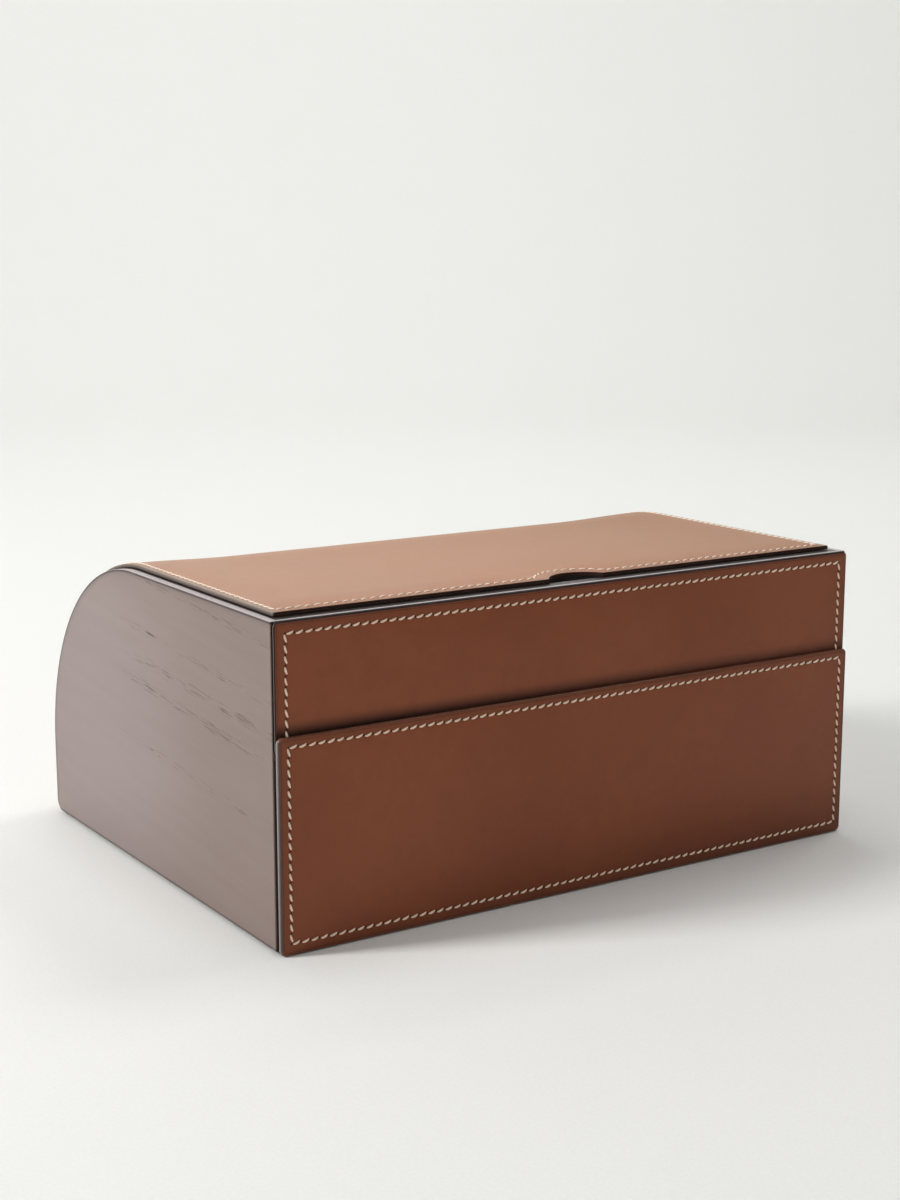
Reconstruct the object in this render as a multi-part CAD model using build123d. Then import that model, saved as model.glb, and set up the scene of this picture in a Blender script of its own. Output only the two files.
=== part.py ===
from build123d import *
import os
from math import asin, cos, degrees, hypot, sin, sqrt

# Stationery box: two wooden side panels with a rounded back shoulder, a leather-covered lid
# hinged on that shoulder, and a leather-fronted drawer below the paper compartment.
# Millimetres. X runs along the width, -Y is the front, Z is up, and the floor is at Z = 0.
# The origin is the middle of the whole box's footprint.

# ---------------------------------------------------------------- wooden body
body_width = 320.0
body_depth = 242.5
body_height = 141.5
shoulder_radius = 105.0
heel_radius = 6.0
side_thickness = 9.0
wood_arris = 0.5
bottom_thickness = 6.0
shelf_thickness = 5.0
rail_thickness = 7.5
bent_board_thickness = 7.0

# ---------------------------------------------------------------- leather and lining
panel_skin = 2.0
lid_skin = 1.8
skin_edge_round = 0.8
panel_corner_radius = 2.5
panel_side_inset = 0.5
lining_thickness = 1.0
lining_fit = 0.2
back_skin_lift = 8.0

# ---------------------------------------------------------------- lid
lid_reveal_side = 5.0
lid_reveal_front = 6.9
lid_seat_gap = 0.3
lid_side_gap = 0.8
lid_front_gap = 0.8
lid_lining_margin = 1.0
wall_lining_gap = 1.3
notch_width = 30.0
notch_depth = 9.0
split_gap = 0.6
split_above_lining = 3.5

# ---------------------------------------------------------------- hinges
hinge_length = 44.0
hinge_inset = 60.0
leaf_thickness = 1.0
leaf_inner_margin = 1.5
leaf_end_fit = 0.1
barrel_radius = 2.4
barrel_gap = 0.3
knuckle_gap = 0.25
pin_radius = 1.0
pin_clearance = 0.05
pin_head_radius = 1.7
pin_head_height = 0.8
pin_head_gap = 0.1
screw_shank_radius = 0.85
screw_head_radius = 1.7
screw_head_height = 0.85
screw_slot_width = 0.4
screw_slot_depth = 0.4
hinge_screw_length = 9.0
hinge_screw_pitch = 15.0

# ---------------------------------------------------------------- drawer
drawer_front_height = 94.2
drawer_front_lift = 0.3
drawer_front_overlap = 8.0
drawer_front_gap = 0.3
drawer_top_gap = 0.8
drawer_backing_gap = 0.6
drawer_side_gap = 0.8
drawer_floor_gap = 1.0
drawer_front_board = 9.0
drawer_side_thickness = 9.0
drawer_back_thickness = 7.0
drawer_side_lift = 2.0
drawer_side_drop = 8.0
drawer_back_rise = 4.0
drawer_rear_gap = 4.0
drawer_bottom_thickness = 4.0
drawer_bottom_lift = 2.0
drawer_groove_depth = 4.0
drawer_kept_inside = 50.5

# ---------------------------------------------------------------- runners and stops
runner_height = 8.0
runner_width = 5.0
runner_length = 195.0
runner_front_setback = 14.0
runner_rise = 33.0
runner_gap = 0.25
runner_screw_length = 10.0
runner_screw_end = 20.0
runner_screw_count = 3
stop_length = 12.0
stop_width = 30.0
stop_inset = 100.0
stop_side_gap = 1.5
stop_travel_gap = 0.3

# ---------------------------------------------------------------- felt pads
pad_thickness = 1.6
pad_radius = 8.0
pad_inset_x = 26.0
pad_inset_y = 28.0

# ---------------------------------------------------------------- derived places
skin_lift = lid_seat_gap + lid_skin
front_stand = drawer_front_gap + 2 * panel_skin
front_y = (front_stand - body_depth - skin_lift) / 2
back_y = front_y + body_depth
bottom_z = pad_thickness
top_z = bottom_z + body_height
half_width = body_width / 2
inner_half = half_width - side_thickness

shoulder_y = back_y - shoulder_radius
shoulder_z = top_z - shoulder_radius

floor_top = bottom_z + bottom_thickness
drawer_front_top = drawer_front_lift + drawer_front_height
shelf_bottom = drawer_front_top - drawer_front_overlap
shelf_top = shelf_bottom + shelf_thickness
lining_top = shelf_top + lining_thickness
rail_back = front_y + rail_thickness
panel_half = half_width - panel_side_inset

lid_front = front_y + lid_reveal_front
lid_half = half_width - lid_reveal_side
core_front = rail_back + lid_front_gap
core_half = inner_half - lid_side_gap
lid_lining_half = core_half - lid_lining_margin
lid_lining_front = core_front + lid_lining_margin
core_inner = lid_seat_gap - bent_board_thickness
wall_lining_roof = core_inner - lining_thickness - wall_lining_gap
notch_radius = ((notch_width / 2) ** 2 + notch_depth ** 2) / (2 * notch_depth)
notch_centre = lid_front + notch_depth - notch_radius

# The lid and the fixed back part along a plane that runs out from the shoulder's centre.
split_sine = (lining_top + split_above_lining - shoulder_z) / (shoulder_radius - bent_board_thickness)
split_angle = asin(split_sine)
split_plane = Plane(
    origin=(0, shoulder_y, shoulder_z),
    x_dir=(1, 0, 0),
    z_dir=(0, -sin(split_angle), cos(split_angle)),
)
hinge_reach = shoulder_radius + skin_lift + barrel_gap + barrel_radius
big = 4 * (body_width + body_depth + body_height)

parts = {}


# ---------------------------------------------------------------- helpers
def block(x0, x1, y0, y1, z0, z1):
    """A box between two corners."""
    size = Box(x1 - x0, y1 - y0, z1 - z0)
    return Pos((x0 + x1) / 2, (y0 + y1) / 2, (z0 + z1) / 2) * size


def across(face, x0, x1):
    """A profile drawn in Y and Z, carried across the width from x0 to x1."""
    return Pos(x0, 0, 0) * extrude(Plane.YZ * face, amount=x1 - x0)


def mirrored(shape):
    """The same piece on the other side of the box."""
    return mirror(shape, about=Plane.YZ)


def shoulder_point(offset, angle):
    """A point on the shoulder's arc, moved outwards by an offset."""
    reach = shoulder_radius + offset
    return (shoulder_y + reach * cos(angle), shoulder_z + reach * sin(angle))


def shoulder_reach(offset, height):
    """How far back the offset shoulder lies at a height."""
    radius = shoulder_radius + offset
    rise = max(height - shoulder_z, 0)
    return shoulder_y + sqrt(radius ** 2 - rise ** 2)


def bent_profile(outer, inner, start_y, end_z):
    """A band that follows the flat top, the shoulder and the upright back, between two offsets."""
    quarter = asin(1)
    outer_mid = shoulder_point(outer, quarter / 2)
    inner_mid = shoulder_point(inner, quarter / 2)
    outer_top = (shoulder_y, top_z + outer)
    inner_top = (shoulder_y, top_z + inner)
    outer_back = (back_y + outer, shoulder_z)
    inner_back = (back_y + inner, shoulder_z)
    outline = [
        Line((start_y, top_z + inner), (start_y, top_z + outer)),
        Line((start_y, top_z + outer), outer_top),
        ThreePointArc(outer_top, outer_mid, outer_back),
        Line(outer_back, (back_y + outer, end_z)),
        Line((back_y + outer, end_z), (back_y + inner, end_z)),
        Line((back_y + inner, end_z), inner_back),
        ThreePointArc(inner_back, inner_mid, inner_top),
        Line(inner_top, (start_y, top_z + inner)),
    ]
    return make_face(outline)


def above_split(gap):
    """Everything on the lid's side of the split, a gap away from it."""
    return split_plane * (Pos(0, 0, gap + big / 2) * Box(big, big, big))


def below_split(gap):
    """Everything on the fixed back's side of the split, a gap away from it."""
    return split_plane * (Pos(0, 0, -gap - big / 2) * Box(big, big, big))


def notch_cutter(margin):
    """The thumb notch's upright cylinder, widened by a margin."""
    return Pos(0, notch_centre, top_z) * Cylinder(notch_radius + margin, 4 * bent_board_thickness)


def front_outline(panel):
    """The edges round a panel's front face."""
    return panel.faces().sort_by(Axis.Y)[0].edges()


def countersunk_screw(length):
    """A screw with its head's top at Z = 0, pointing down: as a drilling solid, and slotted."""
    head = Cone(screw_shank_radius, screw_head_radius, screw_head_height)
    head = Pos(0, 0, -screw_head_height / 2) * head
    shank = Cylinder(screw_shank_radius, length)
    shank = Pos(0, 0, -length / 2) * shank
    slot = Box(2 * screw_head_radius, screw_slot_width, 2 * screw_slot_depth)
    return head + shank, head + shank - slot


# ---------------------------------------------------------------- wooden body
def side_panel():
    """The right-hand side panel, with its outer edges eased."""
    corner = heel_radius * (1 - sqrt(0.5))
    outline = [
        Line((front_y, bottom_z), (front_y, top_z)),
        Line((front_y, top_z), (shoulder_y, top_z)),
        ThreePointArc((shoulder_y, top_z), shoulder_point(0, asin(1) / 2), (back_y, shoulder_z)),
        Line((back_y, shoulder_z), (back_y, bottom_z + heel_radius)),
        ThreePointArc(
            (back_y, bottom_z + heel_radius),
            (back_y - corner, bottom_z + corner),
            (back_y - heel_radius, bottom_z),
        ),
        Line((back_y - heel_radius, bottom_z), (front_y, bottom_z)),
    ]
    panel = across(make_face(outline), inner_half, half_width)
    outer_face = panel.faces().sort_by(Axis.X)[-1]
    return fillet(outer_face.edges(), wood_arris)


def back_panel():
    """The fixed bent board that closes the back, from the rounded heel up to the split."""
    band = across(
        bent_profile(0, -bent_board_thickness, core_front, bottom_z),
        -inner_half,
        inner_half,
    )
    heel = band.edges().filter_by(Axis.X).group_by(Axis.Z)[0].sort_by(Axis.Y)[-1]
    return fillet(heel, heel_radius) & below_split(split_gap / 2)


def back_leather():
    """The leather on the fixed back, flush with the lid's leather."""
    band = across(
        bent_profile(skin_lift, 0, lid_front, bottom_z + back_skin_lift),
        -lid_half,
        lid_half,
    )
    return band & below_split(split_gap / 2)


def front_rail_leather():
    """The upper front panel: its lower edge lies behind the drawer's leather."""
    panel = block(-panel_half, panel_half, front_y - panel_skin, front_y, shelf_bottom, top_z)
    top_corners = panel.edges().filter_by(Axis.Y).group_by(Axis.Z)[-1]
    panel = fillet(top_corners, panel_corner_radius)
    return fillet(front_outline(panel), skin_edge_round)


panel_right = side_panel()
parts["side_panel_right"] = panel_right
parts["side_panel_left"] = mirrored(panel_right)
parts["bottom_board"] = block(
    -inner_half, inner_half, front_y, back_y - bent_board_thickness, bottom_z, floor_top
)
parts["back_panel"] = back_panel()
parts["back_leather"] = back_leather()
parts["compartment_floor"] = block(
    -inner_half,
    inner_half,
    front_y,
    shoulder_reach(-bent_board_thickness, shelf_top),
    shelf_bottom,
    shelf_top,
)
parts["front_rail"] = block(-inner_half, inner_half, front_y, rail_back, shelf_top, top_z)
parts["front_rail_leather"] = front_rail_leather()


# ---------------------------------------------------------------- paper compartment lining
def side_lining():
    """Suede on the right-hand wall of the compartment, below the closed lid's lining."""
    low_angle = asin((lining_top - shoulder_z) / (shoulder_radius + wall_lining_roof))
    middle_angle = (low_angle + asin(1)) / 2
    crown = (shoulder_y, top_z + wall_lining_roof)
    foot = shoulder_point(wall_lining_roof, low_angle)
    outline = [
        Line((rail_back, lining_top), (rail_back, top_z + wall_lining_roof)),
        Line((rail_back, top_z + wall_lining_roof), crown),
        ThreePointArc(crown, shoulder_point(wall_lining_roof, middle_angle), foot),
        Line(foot, (rail_back, lining_top)),
    ]
    return across(make_face(outline), inner_half - lining_thickness, inner_half)


parts["compartment_lining_floor"] = block(
    -inner_half,
    inner_half,
    rail_back,
    shoulder_reach(-bent_board_thickness, lining_top) - lining_fit,
    shelf_top,
    lining_top,
)
lining_right = side_lining()
parts["compartment_lining_right"] = lining_right
parts["compartment_lining_left"] = mirrored(lining_right)
parts["compartment_lining_front"] = block(
    lining_thickness - inner_half,
    inner_half - lining_thickness,
    rail_back,
    rail_back + lining_thickness,
    lining_top,
    top_z + wall_lining_roof,
)


# ---------------------------------------------------------------- lid
def lid_band(outer, inner, start_y, half, gap, notch_margin):
    """One layer of the lid: a bent band that stops at the split and is notched at the front."""
    band = across(bent_profile(outer, inner, start_y, floor_top), -half, half)
    return (band & above_split(gap)) - notch_cutter(notch_margin)


parts["lid_core"] = lid_band(lid_seat_gap, core_inner, core_front, core_half, split_gap / 2, 0)
parts["lid_leather"] = lid_band(skin_lift, lid_seat_gap, lid_front, lid_half, split_gap / 2, 0)
parts["lid_lining"] = lid_band(
    core_inner,
    core_inner - lining_thickness,
    lid_lining_front,
    lid_lining_half,
    split_gap / 2 + lid_lining_margin,
    lid_lining_margin,
)


# ---------------------------------------------------------------- hinges
# Each hinge is made in the split plane's frame: X along the barrel, Y outwards, Z towards the lid.
leaf_in = shoulder_radius - bent_board_thickness + leaf_inner_margin
leaf_out = hinge_reach - barrel_radius - barrel_gap
knuckle = (hinge_length - 2 * knuckle_gap) / 3
screw_y = (leaf_in + shoulder_radius) / 2
bore_radius = pin_radius + pin_clearance


def barrel_piece(x0, x1, radius):
    """A round piece along the hinge's axis."""
    rod = Cylinder(radius, x1 - x0, rotation=(0, 90, 0))
    return Pos((x0 + x1) / 2, hinge_reach, 0) * rod


def leaf(knuckles, side):
    """A leaf with its knuckles; side is 1 for the lid's leaf and -1 for the body's."""
    near = side * split_gap / 2
    far = side * (split_gap / 2 + leaf_thickness)
    low, high = min(near, far), max(near, far)
    half = hinge_length / 2
    plate = block(-half, half, leaf_in, leaf_out, low, high)
    for x0, x1 in knuckles:
        plate += block(x0, x1, leaf_in, hinge_reach, low, high)
        plate += barrel_piece(x0, x1, barrel_radius)
    return plate - barrel_piece(-half, half, bore_radius)


def leaf_recess(side):
    """The mortise for a leaf, open at the split."""
    near = 0
    far = side * (split_gap / 2 + leaf_thickness)
    half = hinge_length / 2 + leaf_end_fit
    return block(-half, half, leaf_in, hinge_reach, min(near, far), max(near, far))


def hinge_pin():
    """The pin, with a domed head past each end of the barrel."""
    half = hinge_length / 2 + pin_head_gap
    pin = barrel_piece(-half - pin_head_height, half + pin_head_height, pin_radius)
    for sign in (-1, 1):
        ends = sorted((sign * half, sign * (half + pin_head_height)))
        head = barrel_piece(ends[0], ends[1], pin_head_radius)
        rim = head.edges().filter_by(GeomType.CIRCLE).sort_by(Axis.X)[0 if sign < 0 else -1]
        pin += fillet(rim, pin_head_height / 2)
    return pin


def leaf_screws(side):
    """Three screws through a leaf: the solids to drill with, and the slotted screws."""
    drill, slotted = countersunk_screw(hinge_screw_length)
    turn = Rot(180, 0, 0) if side > 0 else Rot(0, 0, 0)
    drills = []
    screws = []
    for step in (-1, 0, 1):
        place = Pos(step * hinge_screw_pitch, screw_y, side * split_gap / 2) * turn
        drills.append(place * drill)
        screws.append(place * slotted)
    return drills, screws


half_hinge = hinge_length / 2
body_knuckles = [(-half_hinge, knuckle - half_hinge), (half_hinge - knuckle, half_hinge)]
lid_knuckles = [(knuckle_gap + knuckle - half_hinge, half_hinge - knuckle - knuckle_gap)]
body_screws = []
lid_screws = []

for name, sign in (("left", -1), ("right", 1)):
    place = split_plane * Pos(sign * (half_width - hinge_inset), 0, 0)
    body_drills, body_slotted = leaf_screws(-1)
    lid_drills, lid_slotted = leaf_screws(1)
    body_leaf = leaf(body_knuckles, -1)
    lid_leaf = leaf(lid_knuckles, 1)
    for drill in body_drills:
        body_leaf -= drill
        parts["back_panel"] -= place * drill
    for drill in lid_drills:
        lid_leaf -= drill
        parts["lid_core"] -= place * drill
    parts["hinge_body_leaf_" + name] = place * body_leaf
    parts["hinge_lid_leaf_" + name] = place * lid_leaf
    parts["hinge_pin_" + name] = place * hinge_pin()
    for node, side in (("back_panel", -1), ("back_leather", -1), ("lid_core", 1), ("lid_leather", 1)):
        parts[node] -= place * leaf_recess(side)
    body_screws += [place * screw for screw in body_slotted]
    lid_screws += [place * screw for screw in lid_slotted]

parts["hinge_body_screws"] = Compound(children=body_screws)
parts["hinge_lid_screws"] = Compound(children=lid_screws)


# ---------------------------------------------------------------- drawer
drawer_half = inner_half - drawer_side_gap
drawer_inner = drawer_half - drawer_side_thickness
drawer_front_y = front_y - drawer_front_gap
board_back = drawer_front_y + drawer_front_board
board_bottom = floor_top + drawer_floor_gap
board_top = shelf_bottom - drawer_top_gap
drawer_side_bottom = board_bottom + drawer_side_lift
drawer_side_top = shelf_bottom - drawer_side_drop
drawer_back_top = drawer_side_top + drawer_back_rise
drawer_rear = shoulder_reach(-bent_board_thickness, drawer_back_top) - drawer_rear_gap
drawer_back_front = drawer_rear - drawer_back_thickness
drawer_travel = drawer_rear - front_y - drawer_kept_inside
tray_bottom = drawer_side_bottom + drawer_bottom_lift
tray_top = tray_bottom + drawer_bottom_thickness
runner_bottom = board_bottom + runner_rise
runner_front = front_y + runner_front_setback
groove_bottom = drawer_half - (runner_width - drawer_side_gap) - runner_gap


def drawer_leather():
    """The lower front panel, which overlaps the upper one."""
    outer = drawer_front_y - 2 * panel_skin
    panel = block(
        -panel_half, panel_half, outer, outer + panel_skin, drawer_front_lift, drawer_front_top
    )
    corners = panel.edges().filter_by(Axis.Y)
    panel = fillet(corners, panel_corner_radius)
    return fillet(front_outline(panel), skin_edge_round)


def drawer_backing():
    """The second layer behind the drawer's leather, below the upper panel's edge."""
    outer = drawer_front_y - panel_skin
    top = shelf_bottom - drawer_backing_gap
    panel = block(-panel_half, panel_half, outer, drawer_front_y, drawer_front_lift, top)
    lower_corners = panel.edges().filter_by(Axis.Y).group_by(Axis.Z)[0]
    return fillet(lower_corners, panel_corner_radius)


def tray_panel():
    """The drawer's bottom, which runs into grooves in the front and the sides."""
    half = drawer_inner + drawer_groove_depth
    return block(-half, half, board_back - drawer_groove_depth, drawer_rear, tray_bottom, tray_top)


def drawer_side():
    """The right-hand drawer side, grooved for its runner from the back."""
    side = block(
        drawer_inner, drawer_half, board_back, drawer_rear, drawer_side_bottom, drawer_side_top
    )
    groove = block(
        groove_bottom,
        half_width,
        runner_front - runner_gap,
        back_y,
        runner_bottom - runner_gap,
        runner_bottom + runner_height + runner_gap,
    )
    return side - groove - tray_panel()


tray = tray_panel()
parts["drawer_front_leather"] = drawer_leather()
parts["drawer_front_backing"] = drawer_backing()
parts["drawer_front_board"] = (
    block(-drawer_half, drawer_half, drawer_front_y, board_back, board_bottom, board_top) - tray
)
drawer_right = drawer_side()
parts["drawer_side_right"] = drawer_right
parts["drawer_side_left"] = mirrored(drawer_right)
parts["drawer_back"] = block(
    -drawer_inner, drawer_inner, drawer_back_front, drawer_rear, tray_top, drawer_back_top
)
parts["drawer_bottom"] = tray
parts["drawer_lining"] = block(
    lining_fit - drawer_inner,
    drawer_inner - lining_fit,
    board_back + lining_fit,
    drawer_back_front - lining_fit,
    tray_top,
    tray_top + lining_thickness,
)


# ---------------------------------------------------------------- runners, stops and pads
def runner_with_screws():
    """The right-hand runner, its drilling solids and its screws, which bite the side panel."""
    inner = inner_half - runner_width
    bar = block(
        inner,
        inner_half,
        runner_front,
        runner_front + runner_length,
        runner_bottom,
        runner_bottom + runner_height,
    )
    drill, slotted = countersunk_screw(runner_screw_length)
    pitch = (runner_length - 2 * runner_screw_end) / (runner_screw_count - 1)
    drills = []
    screws = []
    for number in range(runner_screw_count):
        y = runner_front + runner_screw_end + number * pitch
        place = Pos(inner, y, runner_bottom + runner_height / 2) * Rot(0, -90, 0)
        drills.append(place * drill)
        screws.append(place * slotted)
    return bar, drills, screws


runner_right, runner_drills, runner_screws = runner_with_screws()
for drill in runner_drills:
    runner_right -= drill
    parts["side_panel_right"] -= drill
    parts["side_panel_left"] -= mirrored(drill)
parts["drawer_runner_right"] = runner_right
parts["drawer_runner_left"] = mirrored(runner_right)
parts["runner_screws"] = Compound(
    children=runner_screws + [mirrored(screw) for screw in runner_screws]
)

stop_rear = drawer_back_front - drawer_travel - stop_travel_gap
stop_bottom = drawer_side_top + stop_side_gap
stop_blocks = []
for sign in (-1, 1):
    centre = sign * (half_width - stop_inset)
    stop_blocks.append(
        block(
            centre - stop_width / 2,
            centre + stop_width / 2,
            stop_rear - stop_length,
            stop_rear,
            stop_bottom,
            shelf_bottom,
        )
    )
parts["drawer_stops"] = Compound(children=stop_blocks)

for side_name, x in (("left", pad_inset_x - half_width), ("right", half_width - pad_inset_x)):
    for end_name, y in (("front", front_y + pad_inset_y), ("rear", back_y - pad_inset_y)):
        pad = Pos(x, y, pad_thickness / 2) * Cylinder(pad_radius, pad_thickness)
        parts["foot_pad_" + end_name + "_" + side_name] = pad

# ---------------------------------------------------------------- output
os.makedirs("parts", exist_ok=True)
for name, shape in parts.items():
    export_step(shape, "parts/" + name + ".step")

hinge_y, hinge_z = shoulder_point(hinge_reach - shoulder_radius, split_angle)
compartment_depth = shoulder_reach(-bent_board_thickness, lining_top) - rail_back
print("nodes", len(parts))
print("front face of the wood at y =", round(front_y, 3), "back at y =", round(back_y, 3))
print("hinge axis at y, z =", round(hinge_y, 3), round(hinge_z, 3))
print("split angle", round(degrees(split_angle), 2), "notch radius", round(notch_radius, 2))
print("compartment depth at its lining", round(compartment_depth, 1))
print("drawer travel", round(drawer_travel, 2))
print("drawer inside", round(2 * drawer_inner, 1), round(drawer_back_front - board_back, 1))
print("lid's front edge from the hinge", round(hypot(hinge_y - lid_front, hinge_z - top_z), 1))
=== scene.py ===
from math import asin, atan2, ceil, cos, hypot, pi, radians, sin
from random import Random

import bmesh
import bpy
from mathutils import Matrix, Vector


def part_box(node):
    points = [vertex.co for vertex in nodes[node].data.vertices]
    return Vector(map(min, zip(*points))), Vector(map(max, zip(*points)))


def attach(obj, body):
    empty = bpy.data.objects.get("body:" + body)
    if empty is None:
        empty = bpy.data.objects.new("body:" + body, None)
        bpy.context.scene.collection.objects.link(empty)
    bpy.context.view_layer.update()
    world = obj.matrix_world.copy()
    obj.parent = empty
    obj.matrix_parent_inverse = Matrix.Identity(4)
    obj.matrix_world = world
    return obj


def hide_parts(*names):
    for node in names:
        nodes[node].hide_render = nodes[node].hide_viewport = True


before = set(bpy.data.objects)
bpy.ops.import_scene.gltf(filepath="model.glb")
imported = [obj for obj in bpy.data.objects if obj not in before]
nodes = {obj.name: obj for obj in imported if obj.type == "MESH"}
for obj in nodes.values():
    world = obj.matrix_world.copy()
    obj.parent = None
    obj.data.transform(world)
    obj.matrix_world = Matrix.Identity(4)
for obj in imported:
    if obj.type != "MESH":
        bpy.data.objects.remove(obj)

# Stationery box: wooden side panels with a rounded back shoulder, a leather-covered lid
# hinged on that shoulder, and a leather-fronted drawer below the paper compartment.
# Pieces are shaped in millimetres and brought to metres when they are finished.
# A leather piece is cut flat first: u runs across the box, v along the sheet, h out of it.

scene = bpy.context.scene
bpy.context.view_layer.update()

MM = 0.001


def box_mm(node):
    """A CAD node's lowest and highest corners, in millimetres."""
    low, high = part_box(node)
    return low / MM, high / MM


# ---------------------------------------------------------------- places, millimetres
_, side_high = box_mm("side_panel_right")
lid_low, lid_high = box_mm("lid_leather")
upper_low, upper_high = box_mm("front_rail_leather")
outer_low, outer_high = box_mm("drawer_front_leather")
backing_low, backing_high = box_mm("drawer_front_backing")
back_low, _ = box_mm("back_leather")

WOOD_TOP = side_high.z
WOOD_BACK = side_high.y
SHOULDER_RADIUS = 105.0
SHOULDER_Y = WOOD_BACK - SHOULDER_RADIUS
SHOULDER_Z = WOOD_TOP - SHOULDER_RADIUS

# The lid and the fixed back part on the shoulder, at an angle above the level.
SPLIT_ANGLE = radians(36.21)
HALF_SPLIT = 0.3
LEAF_THICKNESS = 1.0
HINGE_X = 100.0
HINGE_HALF = 22.1

SKIN_TOP = lid_high.z - WOOD_TOP
SKIN_LOW = 0.3
SKIN_RADIUS = SHOULDER_RADIUS + SKIN_TOP
PANEL_SKIN = 2.0
SPLIT_V = SHOULDER_Y + SKIN_RADIUS * (pi / 2 - SPLIT_ANGLE)
UPRIGHT_V = SHOULDER_Y + SKIN_RADIUS * pi / 2
LID_HALF = lid_high.x
LID_FRONT = lid_low.y
LID_END = SPLIT_V - HALF_SPLIT
BACK_START = SPLIT_V + HALF_SPLIT
BACK_END = UPRIGHT_V + SHOULDER_Z - back_low.z
NOTCH_DEPTH = 9.0
NOTCH_HALF = 15.0
NOTCH_RADIUS = (NOTCH_HALF ** 2 + NOTCH_DEPTH ** 2) / (2 * NOTCH_DEPTH)
NOTCH_V = LID_FRONT + NOTCH_DEPTH - NOTCH_RADIUS

STITCH_PITCH = 4.5
STITCH_LENGTH = 3.65
STITCH_SLANT = radians(18)


# ---------------------------------------------------------------- shader maths
class Value:
    """A shader output; arithmetic on it adds Math nodes."""

    def __init__(self, finish, socket):
        self.finish = finish
        self.socket = socket

    def maths(self, operation, *others):
        return self.finish.node("ShaderNodeMath", {"operation": operation}, [self, *others])

    def __add__(self, other):
        return self.maths("ADD", other)

    def __sub__(self, other):
        return self.maths("SUBTRACT", other)

    def __rsub__(self, other):
        return self.finish.node("ShaderNodeMath", {"operation": "SUBTRACT"}, [other, self])

    def __mul__(self, other):
        return self.maths("MULTIPLY", other)

    def __truediv__(self, other):
        return self.maths("DIVIDE", other)

    def __abs__(self):
        return self.maths("ABSOLUTE")

    def __lt__(self, other):
        return self.maths("LESS_THAN", other)

    __radd__ = __add__
    __rmul__ = __mul__

    def least(self, other):
        return self.maths("MINIMUM", other)

    def greatest(self, other):
        return self.maths("MAXIMUM", other)

    def root(self):
        return self.maths("SQRT")

    def beside(self, pitch):
        """How far the value is from the nearest whole number of pitches."""
        return abs((self / pitch + 0.5).maths("FRACT") - 0.5) * pitch

    def smooth(self, low, high, start=0.0, end=1.0):
        """A soft step from start at low to end at high."""
        return self.finish.node(
            "ShaderNodeMapRange",
            {"interpolation_type": "SMOOTHSTEP"},
            [self, low, high, start, end],
        )


class Finish:
    """A procedural material, made of nodes."""

    def __init__(self, name):
        self.material = bpy.data.materials.new(name)
        self.material.use_nodes = True
        self.tree = self.material.node_tree
        self.shader = self.tree.nodes["Principled BSDF"]

    def node(self, kind, settings=None, inputs=None, output=0):
        """Adds a node: its type, its settings, and the values or links of its sockets."""
        made = self.tree.nodes.new(kind)
        for name, value in (settings or {}).items():
            if name == "stops":
                ramp = made.color_ramp
                while len(ramp.elements) < len(value):
                    ramp.elements.new(1.0)
                for element, (place, colour) in zip(ramp.elements, value):
                    element.position = place
                    element.color = colour
            else:
                setattr(made, name, value)
        pairs = inputs.items() if isinstance(inputs, dict) else enumerate(inputs or [])
        for key, value in pairs:
            self.feed(made.inputs[key], value)
        return Value(self, made.outputs[output])

    def feed(self, socket, value):
        if isinstance(value, Value):
            self.tree.links.new(value.socket, socket)
        else:
            socket.default_value = value

    def place(self):
        """The point's place on the piece, in metres."""
        return self.node("ShaderNodeTexCoord", output="Object")

    def stored(self, name):
        """A vector stored on the piece's vertices."""
        settings = {"attribute_type": "GEOMETRY", "attribute_name": name}
        return self.node("ShaderNodeAttribute", settings, output="Vector")

    def parts(self, vector):
        """A vector's three numbers."""
        split = self.node("ShaderNodeSeparateXYZ", {}, [vector])
        outputs = split.socket.node.outputs
        return [Value(self, outputs[number]) for number in range(3)]

    def mapped(self, vector, turn=(0, 0, 0), scale=(1, 1, 1), shift=(0, 0, 0)):
        """A vector shifted, turned and stretched."""
        return self.node(
            "ShaderNodeMapping",
            {},
            {"Vector": vector, "Location": shift, "Rotation": turn, "Scale": scale},
        )

    def noise(self, vector, scale, detail=2.0, roughness=0.5, distortion=0.0):
        return self.node(
            "ShaderNodeTexNoise",
            {},
            {
                "Vector": vector,
                "Scale": scale,
                "Detail": detail,
                "Roughness": roughness,
                "Distortion": distortion,
            },
        )

    def cells(self, vector, scale):
        return self.node("ShaderNodeTexVoronoi", {}, {"Vector": vector, "Scale": scale})

    def blend(self, factor, first, second):
        """Two colours mixed."""
        settings = {"data_type": "RGBA"}
        return self.node("ShaderNodeMix", settings, {0: factor, 6: first, 7: second}, output=2)

    def bump(self, height, distance, strength):
        """A normal bent by a height; distance is how tall a height of 1 stands, in metres."""
        inputs = {"Height": height, "Distance": distance, "Strength": strength}
        return self.node("ShaderNodeBump", {}, inputs)

    def seal(self, **sockets):
        """Links or sets the shader's own sockets."""
        for name, value in sockets.items():
            self.feed(self.shader.inputs[name.replace("_", " ")], value)
        return self.material


def tone(red, green, blue):
    """A colour given as it looks on screen, 0 to 255, as the linear colour a shader takes."""

    def linear(step):
        share = step / 255
        return share / 12.92 if share <= 0.04045 else ((share + 0.055) / 1.055) ** 2.4

    return (linear(red), linear(green), linear(blue), 1.0)


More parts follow.
